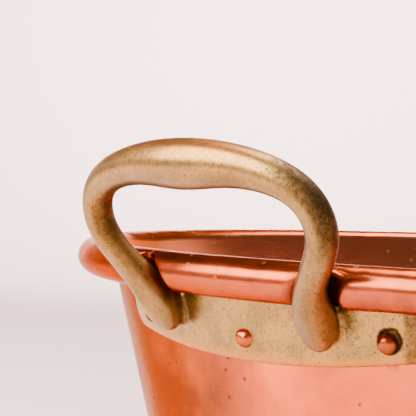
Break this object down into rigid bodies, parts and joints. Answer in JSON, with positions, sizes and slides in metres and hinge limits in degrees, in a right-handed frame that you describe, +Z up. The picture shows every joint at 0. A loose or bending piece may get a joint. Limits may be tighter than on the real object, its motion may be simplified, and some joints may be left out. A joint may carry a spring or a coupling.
{
  "type": "two-handled preserving pan",
  "caption": "Flared copper preserving pan with a hollow rolled rim and two riveted cast brass loop handles.",
  "frame": {"origin": "middle of the base, on the surface that the pan stands on", "axes": "+Z up; the handles point along -X (left) and +X (right); -Y is the front"},
  "size_m": [0.3808, 0.3424, 0.1631],
  "materials": {
    "copper_sheet": "polished copper, worn, fine scratches and dark specks",
    "cast_brass": "satin cast brass, fine pits, brown grime in the corners",
    "copper_rivet": "hand-closed copper, polished by use"
  },
  "bodies": {
    "root": {"pan_body": "copper_sheet", "handle_left": "cast_brass", "handle_right": "cast_brass", "rivet_left_front": "copper_rivet", "rivet_left_middle": "copper_rivet", "rivet_left_back": "copper_rivet", "rivet_right_front": "copper_rivet", "rivet_right_middle": "copper_rivet", "rivet_right_back": "copper_rivet"}
  },
  "joints": []
}
